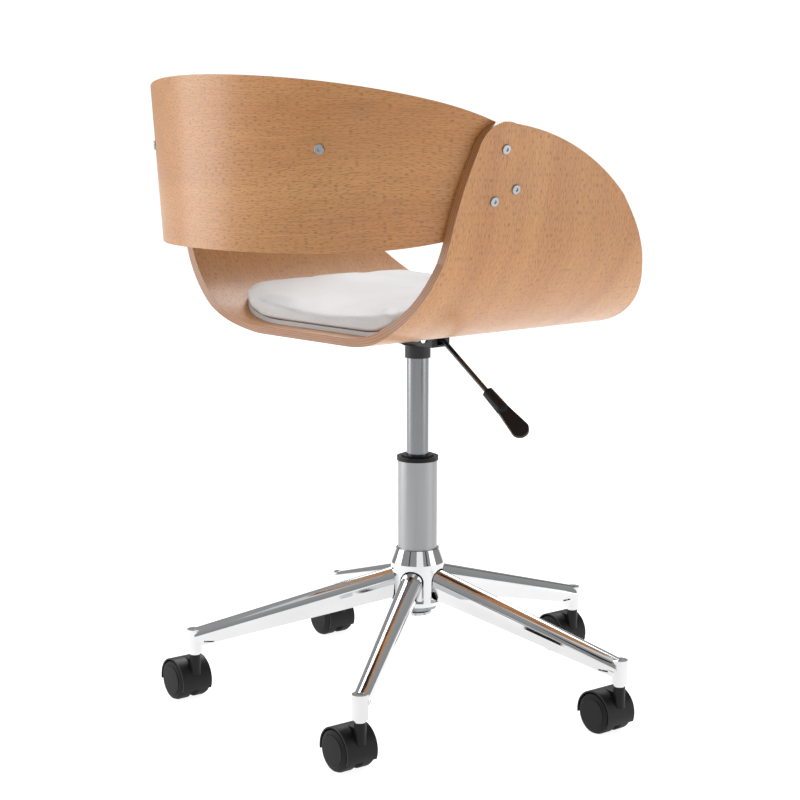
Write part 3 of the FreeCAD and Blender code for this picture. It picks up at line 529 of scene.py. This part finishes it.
def make_floor():
    mesh = bpy.data.meshes.new("studio_floor")
    half = floor_size / 2
    corners = [(-half, -half, 0), (half, -half, 0), (half, half, 0), (-half, half, 0)]
    mesh.from_pydata(corners, [], [(0, 1, 2, 3)])
    floor = add_object("studio_floor", mesh)
    material, tree, shader = new_material("pale_floor")
    x, y, z = place(tree)
    mottle = noise(tree, vector(tree, x, y, z), floor_mottle_cells, 3.0)
    tone = blend_colours(tree, mottle, (0.46, 0.46, 0.46), (0.5, 0.5, 0.5))
    tree.links.new(tone, shader.inputs["Base Color"])
    settings(shader, Roughness=0.7, Specular_IOR_Level=0.2)
    settings(shader, Emission_Color=(*white, 1.0), Emission_Strength=floor_glow)
    mesh.materials.append(material)


def make_backdrop():
    """White dome round the set. It is there for the eye alone and lights nothing."""
    mesh = bpy.data.meshes.new("backdrop")
    shape = bmesh.new()
    bmesh.ops.create_uvsphere(shape, u_segments=32, v_segments=16, radius=floor_size / 2)
    shape.to_mesh(mesh)
    shape.free()
    dome = add_object("backdrop", mesh)
    material, tree, shader = new_material("backdrop_white")
    settings(shader, Base_Color=(0.0, 0.0, 0.0, 1.0), Roughness=1.0, Specular_IOR_Level=0.0)
    settings(shader, Emission_Color=(*white, 1.0), Emission_Strength=backdrop_glow)
    mesh.materials.append(material)
    dome.visible_diffuse = False
    dome.visible_glossy = False
    dome.visible_shadow = False


def make_card(name, turn, distance, width):
    """Black card beside the set. Only reflections see it, and it draws the dark lines in the chrome."""
    mesh = bpy.data.meshes.new(name)
    half = width / 2
    corners = [(-half, 0, 0), (half, 0, 0), (half, 0, card_height), (-half, 0, card_height)]
    mesh.from_pydata(corners, [], [(0, 1, 2, 3)])
    card = add_object(name, mesh)
    card.location = around(turn, distance, 0.0)
    card.rotation_euler = (0, 0, math.radians(turn))
    material, tree, shader = new_material(name)
    settings(shader, Base_Color=(0.01, 0.01, 0.01, 1.0), Roughness=0.9)
    mesh.materials.append(material)
    card.visible_camera = False
    card.visible_shadow = False
    card.visible_diffuse = False


def make_light(name, turn, elevation, distance, size, power):
    """Soft rectangle of light that faces the middle of the chair."""
    data = bpy.data.lights.new(name, "AREA")
    data.shape = "RECTANGLE"
    data.size, data.size_y = size
    data.energy = power
    data.color = white
    light = add_object(name, data)
    rise = math.radians(elevation)
    back = around(turn, math.cos(rise), math.sin(rise))
    light.location = Vector((0, 0, aim_height)) + back * distance
    light.rotation_euler = back.to_track_quat("Z", "Y").to_euler()


def make_world():
    """Even white sky, a little brighter overhead."""
    world = bpy.data.worlds.new("studio")
    bpy.context.scene.world = world
    world.use_nodes = True
    tree = world.node_tree
    sky = tree.nodes["Background"]
    sky.inputs["Color"].default_value = (*white, 1.0)
    ways = tree.nodes.new("ShaderNodeTexCoord")
    split = tree.nodes.new("ShaderNodeSeparateXYZ")
    tree.links.new(ways.outputs["Generated"], split.inputs[0])
    glow = between(tree, split.outputs[2], 0.0, sky_top, sky_low, sky_high)
    tree.links.new(glow, sky.inputs["Strength"])


def make_camera():
    data = bpy.data.cameras.new("camera")
    data.lens = camera_lens
    data.sensor_width = camera_sensor
    camera = add_object("camera", data)
    camera.location = around(camera_turn, camera_distance, camera_height)
    heading = math.radians(camera_turn - camera_yaw)
    camera.rotation_euler = (math.radians(90 - camera_pitch), 0, heading)
    bpy.context.scene.camera = camera


def make_studio():
    make_floor()
    make_backdrop()
    make_world()
    make_camera()
    for name, turn, elevation, distance, size, power in lights:
        make_light(name, camera_turn + turn, elevation, distance, size, power)
    for name, turn, distance, width in cards:
        make_card(name, camera_turn + turn, distance, width)
    bpy.context.scene.view_settings.view_transform = "Standard"


dress_frame()
make_seat_cushion()
make_back_cushion()
make_studio()
